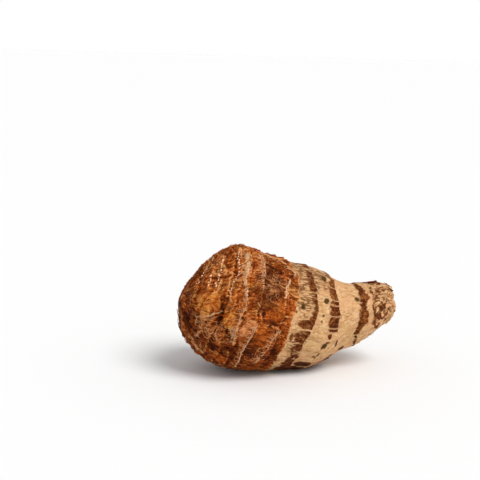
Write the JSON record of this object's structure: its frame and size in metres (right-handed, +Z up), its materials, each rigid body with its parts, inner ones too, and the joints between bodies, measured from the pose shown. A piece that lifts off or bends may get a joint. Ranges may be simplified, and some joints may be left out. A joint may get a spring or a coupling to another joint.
{
  "type": "taro root",
  "caption": "Whole taro corm lying on its side: a fat, ringed, husky end tapering to a pale banded neck and a scarred stub.",
  "frame": {"origin": "middle of the bounding box, at the surface that the corm rests on", "axes": "+X from the fat shoot end to the narrow stub, +Z up, the pictured side toward -Y"},
  "size_m": [0.1011, 0.0561, 0.0555],
  "materials": {
    "husk": "dry fibrous brown husk over pale tan skin, matte with a slight sheen on bare skin"
  },
  "bodies": {
    "root": {"corm": "husk"}
  },
  "joints": []
}
